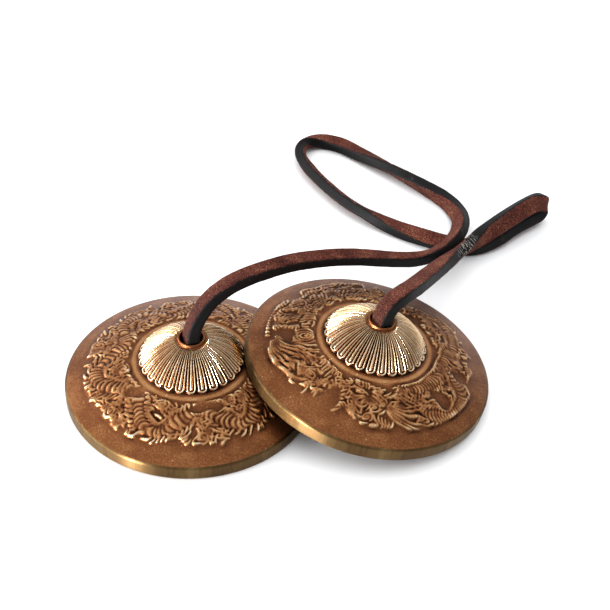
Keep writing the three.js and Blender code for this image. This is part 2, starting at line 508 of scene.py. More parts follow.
def turned_mesh():
    """The bell before its relief, in mm about the Z axis, as one closed mesh."""
    rings_out = [ring(r, z, RING_POINTS) for r, z in outside]
    rings_in = [ring(r, z, INSIDE_POINTS) for r, z in inside_line]
    points = np.vstack(rings_out + rings_in)
    faces = []
    n = np.arange(RING_POINTS)
    for k in range(len(outside) - 1):
        low, high = k * RING_POINTS, (k + 1) * RING_POINTS
        nxt = (n + 1) % RING_POINTS
        faces += np.stack([low + n, low + nxt, high + nxt, high + n], -1).tolist()
    first_in = len(outside) * RING_POINTS
    m = np.arange(INSIDE_POINTS)
    for k in range(len(inside_line) - 1):
        low, high = first_in + k * INSIDE_POINTS, first_in + (k + 1) * INSIDE_POINTS
        nxt = (m + 1) % INSIDE_POINTS
        faces += np.stack([low + m, low + nxt, high + nxt, high + m], -1).tolist()
    last_out, last_in = first_in - RING_POINTS, len(points) - INSIDE_POINTS
    for i in range(INSIDE_POINTS):
        j = (i + 1) % INSIDE_POINTS
        fine = [(4 * i + s) % RING_POINTS for s in range(5)]
        faces.append([last_out + f for f in fine] + [first_in + j, first_in + i])
        faces.append([last_in + i, last_in + j] + fine[::-1])
    mesh = bpy.data.meshes.new("turned_bell")
    mesh.from_pydata(points.tolist(), [], faces)
    return mesh, points


def outline_facts():
    """For each outer ring: its outward direction and its distance below the collar."""
    step = np.gradient(outside, axis=0)
    normal = np.stack([step[:, 1], -step[:, 0]], -1)
    normal /= np.linalg.norm(normal, axis=1)[:, None]
    runs = np.hypot(*np.diff(outside, axis=0).T)
    below = np.concatenate([np.cumsum(runs[::-1])[::-1], [0]])
    collar_line = below[len(outside) - len(collar)]
    return normal, below - collar_line


def base_bell(side):
    mesh, points = turned_mesh()
    normal, below = outline_facts()
    count = len(outside) * RING_POINTS
    radius = np.hypot(points[:, 0], points[:, 1])
    outward = np.zeros_like(points)
    ring_of = np.arange(count) // RING_POINTS
    unit = points[:count, :2] / radius[:count, None]
    outward[:count, :2] = unit * normal[ring_of, :1]
    outward[:count, 2] = normal[ring_of, 1]
    from_collar = np.full(len(points), -5.0)
    from_collar[:count] = below[ring_of]
    height, worn = RELIEF_MAPS[side]
    on_face = np.zeros(len(points), bool)
    on_face[:count] = (outside[ring_of, 0] > FACE_FOOT) & (ring_of >= BAND_RINGS)
    relief = np.where(on_face, read_map(height, points[:, 0], points[:, 1]), 0)
    shine = np.where(on_face, read_map(worn, points[:, 0], points[:, 1]), DOME_SHINE)
    # the paler foot ring, partly polish and partly a painted highlight, is added to the shine
    shine += FOOT_POLISH_AND_PAINTED_HIGHLIGHT * np.exp(-((radius - FOOT_RING_RADIUS) / FOOT_SPREAD) ** 2)
    shine[:count][ring_of >= len(outside) - len(collar)] = COLLAR_SHINE
    attribute(mesh, "radius", "FLOAT", radius)
    attribute(mesh, "angle", "FLOAT", np.arctan2(points[:, 1], points[:, 0]) + np.pi)
    attribute(mesh, "from_collar", "FLOAT", from_collar)
    attribute(mesh, "relief", "FLOAT", relief)
    attribute(mesh, "shine", "FLOAT", shine)
    attribute(mesh, "outward", "FLOAT_VECTOR", outward)
    attribute(mesh, "bell_place", "FLOAT_VECTOR", points)
    zone = np.zeros(len(mesh.polygons))
    zone[:BAND_RINGS * RING_POINTS] = 1
    zone[(len(outside) - 1) * RING_POINTS:] = 2
    attribute(mesh, "zone", "FLOAT", zone, "FACE")
    made = bpy.data.objects.new("bell_" + side, mesh)
    bpy.context.scene.collection.objects.link(made)
    return made


# %% [markdown]
# ### Petals and relief with Geometry Nodes
# The dome carries 28 long petals with round ends. Each has a raised outline and a raised
# tongue inside it. They repeat round the axis, so one tree raises them all: a point's angle
# gives its place across its petal, and its distance from the collar gives its place along it.
# The same tree lifts the face by the relief's height, darkens the grooves between the petals
# and gives each zone its material.


# %% The tree that raises petals and relief
PETALS = {"Petals": 28.0, "Petal length": 11.7, "Tip radius": 1.35, "Outline height": 0.6,
          "Outline at": 0.33, "Outline width": 0.2, "Tongue height": 0.5,
          "Tongue width": 0.37, "Fade in": 0.5}


def named(tree, name, kind="FLOAT"):
    return add(tree, "GeometryNodeInputNamedAttribute", {"Name": name}, data_type=kind)


def bell_tree(materials):
    tree = bpy.data.node_groups.new("petals and relief", "GeometryNodeTree")
    tree.interface.new_socket("Geometry", in_out="INPUT", socket_type="NodeSocketGeometry")
    for name in PETALS:
        tree.interface.new_socket(name, in_out="INPUT", socket_type="NodeSocketFloat")
    tree.interface.new_socket("Geometry", in_out="OUTPUT", socket_type="NodeSocketGeometry")
    given = tree.nodes.new("NodeGroupInput").outputs
    radius, angle = named(tree, "radius"), named(tree, "angle")
    from_collar = named(tree, "from_collar")
    # the place across the petal, from -1 to 1, and past the middle of its round end
    turns = add(tree, "ShaderNodeMath", {0: angle, 1: given["Petals"]}, operation="MULTIPLY")
    turns = add(tree, "ShaderNodeMath", {0: turns, 1: 2 * math.pi}, operation="DIVIDE")
    part = add(tree, "ShaderNodeMath", {0: turns}, operation="FRACT")
    across = add(tree, "ShaderNodeMath", {0: part, 1: 2.0, 2: -1.0}, operation="MULTIPLY_ADD")
    tip = add(tree, "ShaderNodeMath", {0: given["Petal length"], 1: given["Tip radius"]},
              operation="SUBTRACT")
    past = add(tree, "ShaderNodeMath", {0: from_collar, 1: tip}, operation="SUBTRACT")
    past = add(tree, "ShaderNodeMath", {0: past, 1: 0.0}, operation="MAXIMUM")
    past = add(tree, "ShaderNodeMath", {0: past, 1: given["Tip radius"]}, operation="DIVIDE")
    place = add(tree, "ShaderNodeCombineXYZ", {"X": across, "Y": past})
    edge = add(tree, "ShaderNodeVectorMath", {0: place}, out="Value", operation="LENGTH")
    # the raised outline, a rounded ridge a little inside the petal's edge
    depth = add(tree, "ShaderNodeMath", {0: 1.0, 1: edge}, operation="SUBTRACT")
    depth = add(tree, "ShaderNodeMath", {0: depth, 1: given["Outline at"]}, operation="SUBTRACT")
    depth = add(tree, "ShaderNodeMath", {0: depth, 1: given["Outline width"]},
                operation="DIVIDE")
    round_off = add(tree, "ShaderNodeMath", {0: depth, 1: depth}, operation="MULTIPLY")
    outline = add(tree, "ShaderNodeMath", {0: 1.0, 1: round_off}, operation="SUBTRACT",
                  use_clamp=True)
    outline = add(tree, "ShaderNodeMath", {0: outline, 1: 0.75}, operation="POWER")
    # the tongue along the petal's middle
    inner = add(tree, "ShaderNodeMath", {0: edge, 1: given["Tongue width"]}, operation="DIVIDE")
    inner = add(tree, "ShaderNodeMath", {0: inner, 1: inner}, operation="MULTIPLY")
    tongue = add(tree, "ShaderNodeMath", {0: 1.0, 1: inner}, operation="SUBTRACT",
                 use_clamp=True)
    raised = add(tree, "ShaderNodeMath", {0: outline, 1: given["Outline height"]},
                 operation="MULTIPLY")
    raised = add(tree, "ShaderNodeMath", {0: tongue, 1: given["Tongue height"], 2: raised},
                 operation="MULTIPLY_ADD")
    pattern = raised
    # steeper where the petals are narrow, and nothing on the collar or inside the bell
    narrow = add(tree, "ShaderNodeMapRange", {"Value": radius, "From Min": 3.5,
                                              "From Max": 11.0, "To Min": 1.15, "To Max": 1.0})
    fade = add(tree, "ShaderNodeMapRange", {"Value": from_collar, "From Min": 0.1,
                                            "From Max": given["Fade in"]})
    raised = add(tree, "ShaderNodeMath", {0: raised, 1: narrow}, operation="MULTIPLY")
    raised = add(tree, "ShaderNodeMath", {0: raised, 1: fade}, operation="MULTIPLY")
    height = add(tree, "ShaderNodeMath", {0: raised, 1: named(tree, "relief")},
                 operation="ADD")
    offset = add(tree, "ShaderNodeVectorMath",
                 {0: named(tree, "outward", "FLOAT_VECTOR"), "Scale": height},
                 operation="SCALE")
    shape = add(tree, "GeometryNodeSetPosition",
                {"Geometry": given["Geometry"], "Offset": offset})
    # the petals are worn bright on top, and dark patina stays in their grooves
    on_dome = add(tree, "ShaderNodeMapRange", {"Value": radius, "From Min": 14.2,
                                               "From Max": 13.2})
    lift = add(tree, "ShaderNodeMapRange", {"Value": pattern, "From Min": 0.0, "From Max": 0.42,
                                            "To Min": -0.56, "To Max": 0.42})
    lift = add(tree, "ShaderNodeMath", {0: lift, 1: on_dome}, operation="MULTIPLY")
    lift = add(tree, "ShaderNodeMath", {0: lift, 1: fade}, operation="MULTIPLY")
    shine = add(tree, "ShaderNodeMath", {0: lift, 1: named(tree, "shine")}, operation="ADD")
    shape = add(tree, "GeometryNodeStoreNamedAttribute",
                {"Geometry": shape, "Name": "shine", "Value": shine}, data_type="FLOAT")
    shape = add(tree, "GeometryNodeRealizeInstances", {"Geometry": shape})
    zone = named(tree, "zone")
    for number, material in enumerate(materials):
        chosen = add(tree, "FunctionNodeCompare", {"A": zone, "B": number - 0.5},
                     data_type="FLOAT", operation="GREATER_THAN")
        shape = add(tree, "GeometryNodeSetMaterial",
                    {"Geometry": shape, "Selection": chosen, "Material": material})
    end = tree.nodes.new("NodeGroupOutput")
    tree.links.new(shape, end.inputs["Geometry"])
    return tree


def run_tree(made, tree, values):
    """Runs a tree on an object and leaves the result as the object's plain mesh."""
    modifier = made.modifiers.new("tree", "NODES")
    modifier.node_group = tree
    for item in tree.interface.items_tree:
        if item.in_out == "INPUT" and item.name in values:
            modifier[item.identifier] = values[item.name]
    bpy.context.view_layer.update()
    evaluated = made.evaluated_get(bpy.context.evaluated_depsgraph_get())
    plain = bpy.data.meshes.new_from_object(evaluated)
    made.modifiers.remove(modifier)
    old = made.data
    made.data = plain
    bpy.data.meshes.remove(old)
    return made

# %% [markdown]
# ### Bronze
# The bells are cast bronze, a metal, so the colour is in its reflection. The face is as
# cast: brown with age, with a fine sand grain about 0.4 mm across and a few bright nicks. On
# the raised strokes and petals hands have rubbed the patina off, and the metal shines
# paler. The rim band was turned on a lathe and has toned to an olive brown. Its fine grooves
# run round the rim, and they draw each highlight out upwards. The inside was never finished,
# and stays dark and rough.


# %% Materials of the bells
def metal(name):
    """A new material, its tree and its shader node, as bare metal with the default IOR."""
    material = bpy.data.materials.new(name)
    material.use_nodes = True
    shader = material.node_tree.nodes["Principled BSDF"]
    shader.inputs["Metallic"].default_value = 1.0
    return material, material.node_tree, shader


def ramp(tree, value, stops):
    """A colour ramp from pairs of a place and a hex colour."""
    made = add(tree, "ShaderNodeValToRGB", {"Fac": value})
    elements = made.node.color_ramp.elements
    while len(elements) < len(stops):
        elements.new(0.5)
    for element, (place, hex_colour) in zip(elements, stops):
        element.position = place
        element.color = linear(hex_colour)
    return made


def cast_bronze(name, stops, rough_low, rough_high, grain_bump):
    """Cast bronze whose colour and polish go from patina to bare metal with the shine."""
    material, tree, shader = metal(name)
    place = add(tree, "ShaderNodeAttribute", out="Vector", attribute_name="bell_place")
    shine = add(tree, "ShaderNodeAttribute", out="Fac", attribute_name="shine")
    patina = add(tree, "ShaderNodeTexNoise", {"Vector": place, "Scale": 0.16, "Detail": 5.0})
    grain = add(tree, "ShaderNodeTexNoise", {"Vector": place, "Scale": 2.4, "Detail": 3.0,
                                             "Roughness": 0.65})
    nicks = add(tree, "ShaderNodeTexVoronoi", {"Vector": place, "Scale": 1.1},
                out="Distance", feature="F1")
    nicks = add(tree, "ShaderNodeMapRange", {"Value": nicks, "From Min": 0.17, "From Max": 0.1})
    rare = add(tree, "ShaderNodeTexNoise", {"Vector": place, "Scale": 0.35, "Detail": 3.0})
    rare = add(tree, "ShaderNodeMapRange", {"Value": rare, "From Min": 0.5, "From Max": 0.58})
    nicks = add(tree, "ShaderNodeMath", {0: nicks, 1: rare}, operation="MULTIPLY")
    level = add(tree, "ShaderNodeMath", {0: patina, 1: 0.34, 2: shine},
                operation="MULTIPLY_ADD")
    level = add(tree, "ShaderNodeMath", {0: grain, 1: 0.45, 2: level}, operation="MULTIPLY_ADD")
    level = add(tree, "ShaderNodeMath", {0: level, 1: -0.4}, operation="ADD")
    level = add(tree, "ShaderNodeMath", {0: nicks, 1: 0.4, 2: level},
                operation="MULTIPLY_ADD", use_clamp=True)
    tree.links.new(ramp(tree, level, stops), shader.inputs["Base Color"])
    rough = add(tree, "ShaderNodeMapRange", {"Value": level, "From Min": 0.2, "From Max": 0.95,
                                             "To Min": rough_high, "To Max": rough_low})
    tree.links.new(rough, shader.inputs["Roughness"])
    bump = add(tree, "ShaderNodeBump", {"Height": grain, "Strength": grain_bump,
                                        "Distance": 0.12 * MM})
    tree.links.new(bump, shader.inputs["Normal"])
    return material


def turned_bronze():
    """Lathe-turned bronze with a brown tone and fine upright brush marks."""
    material, tree, shader = metal("turned_and_brushed_bronze")
    shader.inputs["Anisotropic"].default_value = 0.9
    shader.inputs["Anisotropic Rotation"].default_value = 0.25  # a quarter turn, to upright
    place = add(tree, "ShaderNodeAttribute", out="Vector", attribute_name="bell_place")
    streak_place = add(tree, "ShaderNodeVectorMath", {0: place, 1: (1.0, 1.0, 0.08)},
                       operation="MULTIPLY")
    streaks = add(tree, "ShaderNodeTexNoise", {"Vector": streak_place, "Scale": 1.5,
                                               "Detail": 4.0, "Roughness": 0.6})
    broad = add(tree, "ShaderNodeTexNoise", {"Vector": streak_place, "Scale": 0.12,
                                             "Detail": 2.0})
    level = add(tree, "ShaderNodeMath", {0: streaks, 1: 0.5, 2: broad},
                operation="MULTIPLY_ADD")
    colour = ramp(tree, level, [(0.5, "#4c3823"), (0.75, "#5f482c"), (1.0, "#78603d")])
    tree.links.new(colour, shader.inputs["Base Color"])
    rough = add(tree, "ShaderNodeMapRange", {"Value": streaks, "From Min": 0.3, "From Max": 0.7,
                                             "To Min": 0.44, "To Max": 0.34})
    tree.links.new(rough, shader.inputs["Roughness"])
    bump = add(tree, "ShaderNodeBump", {"Height": streaks, "Strength": 0.2,
                                        "Distance": 0.03 * MM})
    tree.links.new(bump, shader.inputs["Normal"])
    return material


BRONZE = [
    cast_bronze("cast_bronze_with_worn_patina",
                [(0.08, "#1d0f07"), (0.4, "#78492c"), (0.6, "#a9764a"), (0.85, "#cdab7f"),
                 (1.0, "#e8d6ba")], 0.17, 0.46, 0.5),
    turned_bronze(),
    cast_bronze("cast_bronze_unfinished_inside",
                [(0.1, "#2e1c10"), (0.5, "#5d3d24"), (0.7, "#745031"), (0.9, "#8c6641")],
                0.45, 0.65, 0.8),
]
print([m.name for m in BRONZE])

# %% Both bells, made and put in place
BELL_TREE = bell_tree(BRONZE)


def finish_mesh(made, place):
    """Sets a mesh made in mm in its place, in metres, and shades it smooth."""
    mesh = made.data
    mesh.transform(place)
    mesh.transform(Matrix.Scale(MM, 4))
    mesh.validate()
    mesh.shade_smooth()
    mesh.update()
    return made


def outward_volume(made):
    """The closed mesh's volume in cubic mm. It is above zero when its faces point out."""
    mesh = made.data
    mesh.calc_loop_triangles()
    points = np.zeros(len(mesh.vertices) * 3)
    mesh.vertices.foreach_get("co", points)
    corners = np.zeros(len(mesh.loop_triangles) * 3, np.int32)
    mesh.loop_triangles.foreach_get("vertices", corners)
    a, b, c = points.reshape(-1, 3)[corners.reshape(-1, 3)].transpose(1, 0, 2) / MM
    return float(np.einsum("ij,ij->i", a, np.cross(b, c)).sum() / 6)


bells = {}
for side in ("left", "right"):
    bell = run_tree(base_bell(side), BELL_TREE, PETALS)
    if outward_volume(bell) < 0:
        bell.data.flip_normals()
    bells[side] = finish_mesh(bell, PLACES[side])
    print(bell.name, len(bell.data.polygons), "faces,", round(outward_volume(bell)), "mm3")

# %% [markdown]
# ## The leather thong
# One lace, cut square from thick hide, 4.8 mm wide and 3.4 mm thick. Its two wide faces are
# red-brown suede and its two narrow faces are dyed near-black and burnished smooth. It
# leaves the left bell, makes the hand loop, turns back at the narrow tip loop and goes down
# into the right bell, and it ends in a stopper knot under each crown. It twists as it goes,
# so that now one face and now the other looks up. The route is the CAD model's own.

# %% The route
ROUTE = np.array([
    # out of the left bell, over and down to the crossing
    (-21, -1.9, 21.3), (-18.2, 0.3, 25.8), (-13, 4.7, 28.3), (-1, 16.8, 25.8), (8, 26, 21.4),
    (17.2, 33.3, 17.2), (34.6, 43.2, 10.2), (42, 49.4, 8), (47.3, 57, 7.2), (50.4, 66, 5.8),
    # the hand loop, flat on the floor
    (51, 76.2, 3.3), (47.8, 84, 2.1), (40.2, 91.6, 2.1), (20, 109, 2.1), (12.6, 114.2, 2.1),
    (6.2, 115.2, 2.1), (1.4, 111.6, 2.1), (0.8, 105.4, 2.1), (3.4, 98.2, 2.1),
    (8.6, 89.6, 2.1), (19.8, 76.5, 2.1),
    # under the crossing and out to the tip loop, which folds back over itself
    (43.8, 62.9, 2.1), (53, 61.6, 2.1), (60.6, 65.2, 2.1), (67, 71.6, 2.1), (72.8, 77.2, 2.1),
    (75.9, 80.1, 3.1), (77, 81.2, 5.2), (75.9, 80.2, 7.4), (72.8, 77.4, 8.3),
    (65.4, 70, 8.1),
    # over the crossing and up to the right bell
    (54.2, 58.4, 7.1), (48.2, 49.4, 8.8), (43, 38.4, 12.8), (37.8, 26.4, 17.8),
    (32.8, 14.4, 23.1), (29.2, 7.8, 25.5), (26.2, 4.2, 24.6),
]) * MM
PIVOTS = {side: np.array(joints[side + "_swing"]["pos_m"]) for side in ("left", "right")}
LACE_WIDTH, LACE_THICKNESS = 4.8 * MM, 3.4 * MM
LACE_STEP = 0.7 * MM
CORNER, WANDER = 0.7 * MM, 0.22 * MM  # rounding of the section, and how far its cut wanders
NECK_DEPTH = 5.6 * MM  # from the pivot down the hole to the knot
SEAM_POINT = 22.45  # where the two halves of the lace meet, hidden under the crossing


def inward(side):
    """The direction down a bell's hole."""
    return -np.array(Vector(joints[side + "_spin"]["axis"]).normalized())


def centripetal(points, per_point=60):
    """A dense smooth line through the points, as the CAD route is drawn, and each dense
    point's place counted in route points."""
    points = np.asarray(points, float)
    padded = np.vstack([2 * points[0] - points[1], points, 2 * points[-1] - points[-2]])
    gaps = np.linalg.norm(np.diff(padded, axis=0), axis=1) ** 0.5
    line, places = [], []
    for k in range(len(points) - 1):
        a, b, c, d = padded[k:k + 4]
        before, here, after = gaps[k:k + 3]
        out = ((b - a) / before - (c - a) / (before + here) + (c - b) / here) * here
        into = ((c - b) / here - (d - b) / (here + after) + (d - c) / after) * here
        t = np.linspace(0, 1, per_point, endpoint=False)[:, None]
        line.append(b + out * t + (3 * (c - b) - 2 * out - into) * t ** 2
                    + (2 * (b - c) + out + into) * t ** 3)
        places.append(k + t[:, 0])
    return np.vstack([*line, points[-1:]]), np.append(np.concatenate(places), len(points) - 1)


def evenly(line, step, *tracks):
    """The line again with even steps, with the same done to values that go along it."""
    reach = np.concatenate([[0], np.cumsum(np.linalg.norm(np.diff(line, axis=0), axis=1))])
    even = np.linspace(0, reach[-1], int(round(reach[-1] / step)) + 1)
    parts = [np.stack([np.interp(even, reach, c) for c in line.T], -1)]
    return parts + [np.interp(even, reach, track) for track in tracks] + [even]


left_end = PIVOTS["left"] + inward("left") * NECK_DEPTH
right_end = PIVOTS["right"] + inward("right") * NECK_DEPTH
stops = np.vstack([left_end, PIVOTS["left"], ROUTE, PIVOTS["right"], right_end])
dense, dense_place = centripetal(stops)
lace, lace_place, lace_reach = evenly(dense, LACE_STEP, dense_place - 1)
print("lace between the knots:", round(lace_reach[-1] / MM, 1), "mm,", len(lace), "points")

# %% [markdown]
# ### How the lace twists
# At a few stops along the route, a key says how far the suede face is turned from facing
# the front of the pair, in degrees. 0 shows suede, 90 shows the black narrow face, and values
# between show a corner with some of both. Each key is measured in a frame that is carried
# along the line without twisting, so the lace itself turns only as much as the keys ask.

# %% Twist, size and creases along the lace
TWIST = {  # by place in route points
    -1: 70, 0: 70, 1: 66, 2: 54, 3: 45, 4: 43, 5: 43, 6: 46, 7: 62, 8: 73, 9: 66, 10: 45,
    11: 35, 12: 42, 13: 64, 13.5: 90, 14: 122, 15: 137, 16: 118, 17: 96, 18: 80, 19: 77,
    20: 84, 21.1: 88, 21.5: 52, 21.8: 22, 22.3: 22, 23: 45, 24: 64, 25: 68, 26: 66, 27.5: 48,
    29: 20, 30: 10, 31: 20, 31.6: 34, 32.3: 76, 32.7: 90, 33.1: 98, 33.7: 116, 34.3: 128,
    35: 135, 37: 137, 39: 134, 40: 134,
}
SIZE = {  # the section's size there, as a share of its full size
    -1: 0.98, 0: 1, 2: 0.95, 5: 0.92, 9: 0.96, 11: 1.08, 13: 1.0, 22: 1.0, 25: 1.06, 28: 1.1,
    31: 1.14, 32: 1.02, 34: 1.0, 36: 1.02, 40: 1.0,
}
CREASE_PITCH, CREASE_DRIFT = 0.95 * MM, 7.0  # between creases, and how unevenly they lie
CREASE_AT, CREASE_HALF = 32.75, 0.75  # in route points, on the stretch over the crossing
TWIST_SPREAD = 7 * MM  # over which the lace takes up each change of twist
LIFT_SPREAD = 17  # route steps over which a lift from the floor is spread


def unit(v):
    return v / np.linalg.norm(v, axis=-1, keepdims=True)


def carried_frame(line):
    """A direction across the line that is carried along it without twisting."""
    tangent = unit(np.gradient(line, axis=0))
    across = np.zeros_like(line)
    across[0] = unit(np.cross(tangent[0], [0.3, 0.9, 0.1]))
    for k in range(1, len(line)):
        v = across[k - 1] - (across[k - 1] @ tangent[k]) * tangent[k]
        across[k] = v / np.linalg.norm(v)
    return tangent, across, np.cross(tangent, across)


tangent, across, upright = carried_frame(lace)
key_angles = []
for place in sorted(TWIST):
    k = int(np.argmin(np.abs(lace_place - place)))
    view = unit(np.array(STAND) - lace[k])
    left = unit(np.cross(view, tangent[k]))
    facing = unit(np.cross(tangent[k], left))
    turn = math.radians(TWIST[place])
    suede = math.cos(turn) * facing + math.sin(turn) * left
    angle = math.atan2(suede @ upright[k], suede @ across[k])
    if key_angles:  # both suede faces look alike, so the nearer half turn will do
        angle += math.pi * round((key_angles[-1] - angle) / math.pi)
    key_angles.append(angle)



def spread(values, count):
    """Smooths values along the lace over an odd count of steps."""
    weights = np.hanning(count)
    return np.convolve(np.pad(values, count // 2, "edge"), weights / weights.sum(), "valid")


twist = np.interp(lace_place, sorted(TWIST), key_angles)
twist = spread(twist, int(TWIST_SPREAD / LACE_STEP) | 1)
suede_out = np.cos(twist)[:, None] * across + np.sin(twist)[:, None] * upright
wide_way = np.cross(suede_out, tangent)
size = np.interp(lace_place, sorted(SIZE), [SIZE[k] for k in sorted(SIZE)])
crease = np.clip(1 - np.abs(lace_place - CREASE_AT) / CREASE_HALF, 0, 1) ** 0.5

# the lace rests on its lowest edge, so it rises where a corner points down
hang = CORNER + (np.abs(wide_way[:, 2]) * (LACE_WIDTH / 2 - CORNER)
                 + np.abs(suede_out[:, 2]) * (LACE_THICKNESS / 2 - CORNER))
lift = np.clip(size * hang + WANDER / 2 - lace[:, 2], 0, None)
lift = spread(lift, LIFT_SPREAD)
lace[:, 2] += lift
print("twist from", round(math.degrees(twist.min())), "to", round(math.degrees(twist.max())),
      "degrees, lifted by up to", round(lift.max() / MM, 2), "mm")

# %% [markdown]
# ### The lace's tree
# A second Geometry Nodes tree sweeps a rounded rectangle along a line. The line's points
# carry the direction of the wide side, the size and the creases as attributes. The section
# keeps its own flat place on each point, so that the leather material knows which face it
# is on. Fine noise makes the cut edges wander, and the creases wrinkle the narrow face.

# %% The tree that sweeps the lace
LACE = {"Width": LACE_WIDTH, "Thickness": LACE_THICKNESS, "Corner": CORNER,
        "Around": 44, "Wander": WANDER, "Crease depth": 0.2 * MM, "Crease pitch": CREASE_PITCH}


def lace_tree(material):
    tree = bpy.data.node_groups.new("lace along a line", "GeometryNodeTree")
    tree.interface.new_socket("Geometry", in_out="INPUT", socket_type="NodeSocketGeometry")
    for name in LACE:
        kind = "NodeSocketInt" if name == "Around" else "NodeSocketFloat"
        tree.interface.new_socket(name, in_out="INPUT", socket_type=kind)
    tree.interface.new_socket("Geometry", in_out="OUTPUT", socket_type="NodeSocketGeometry")
    given = tree.nodes.new("NodeGroupInput").outputs
    line = add(tree, "GeometryNodeMeshToCurve", {"Mesh": given["Geometry"]})
    way = tree.nodes.new("GeometryNodeSetCurveNormal")
    way.mode = "FREE"
    tree.links.new(line, way.inputs["Curve"])
    tree.links.new(named(tree, "wide_way", "FLOAT_VECTOR"), socket(way.inputs, "Normal"))
    section = add(tree, "GeometryNodeCurvePrimitiveQuadrilateral",
                  {"Width": given["Width"], "Height": given["Thickness"]}, mode="RECTANGLE")
    section = add(tree, "GeometryNodeFilletCurve",
                  {"Curve": section, "Count": 5, "Radius": given["Corner"]}, mode="POLY")
    section = add(tree, "GeometryNodeResampleCurve",
                  {"Curve": section, "Count": given["Around"]}, mode="COUNT")
    section = add(tree, "GeometryNodeStoreNamedAttribute",
                  {"Geometry": section, "Name": "section",
                   "Value": add(tree, "GeometryNodeInputPosition")},
                  data_type="FLOAT_VECTOR")
    swept = add(tree, "GeometryNodeCurveToMesh",
                {"Curve": way.outputs["Curve"], "Profile Curve": section, "Fill Caps": True,
                 "Scale": named(tree, "size")})
    # the cut wanders a little
    place = add(tree, "GeometryNodeInputPosition")
    rough = add(tree, "ShaderNodeTexNoise", {"Vector": place, "Scale": 420.0, "Detail": 3.0})
    rough = add(tree, "ShaderNodeMath", {0: rough, 1: 0.5}, operation="SUBTRACT")
    rough = add(tree, "ShaderNodeMath", {0: rough, 1: given["Wander"]}, operation="MULTIPLY")
    # creases run across the narrow faces, where the section is at its widest
    along = add(tree, "ShaderNodeMath", {0: named(tree, "along"), 1: given["Crease pitch"]},
                operation="DIVIDE")
    uneven = add(tree, "ShaderNodeTexNoise", {"Vector": place, "Scale": 300.0})
    along = add(tree, "ShaderNodeMath", {0: along, 1: 2 * math.pi}, operation="MULTIPLY")
    phase = add(tree, "ShaderNodeMath", {0: uneven, 1: CREASE_DRIFT, 2: along},
                operation="MULTIPLY_ADD")
    wave = add(tree, "ShaderNodeMath", {0: phase}, operation="SINE")
    x_of = add(tree, "ShaderNodeSeparateXYZ", {0: named(tree, "section", "FLOAT_VECTOR")},
               out="X")
    edge = add(tree, "ShaderNodeMath", {0: x_of}, operation="ABSOLUTE")
    edge = add(tree, "ShaderNodeMapRange", {"Value": edge, "From Min": 1.6 * MM,
                                            "From Max": 2.2 * MM})
    deep = add(tree, "ShaderNodeMath", {0: named(tree, "crease"), 1: edge},
               operation="MULTIPLY")
    deep = add(tree, "ShaderNodeMath", {0: deep, 1: given["Crease depth"]},
               operation="MULTIPLY")
    height = add(tree, "ShaderNodeMath", {0: wave, 1: deep, 2: rough},
                 operation="MULTIPLY_ADD")
    offset = add(tree, "ShaderNodeVectorMath",
                 {0: add(tree, "GeometryNodeInputNormal"), "Scale": height}, operation="SCALE")
    shape = add(tree, "GeometryNodeSetPosition", {"Geometry": swept, "Offset": offset})
    shape = add(tree, "GeometryNodeRealizeInstances", {"Geometry": shape})
    shape = add(tree, "GeometryNodeSetMaterial", {"Geometry": shape, "Material": material})
    end = tree.nodes.new("NodeGroupOutput")
    tree.links.new(shape, end.inputs["Geometry"])
    return tree

# %% [markdown]
# ### Leather
# The suede of the wide faces is the hide's loose side: red-brown, matt, with a nap of short
# fibres that catch the light as pale specks about 0.3 mm wide. The narrow faces were dyed
# black with the cut edge sealed, so they are smoother and a little glossy, with grey scuffs
# and pale lines where a crease has cracked the dye. Leather shines less than most surfaces
# of its IOR, so its specular level is set low.


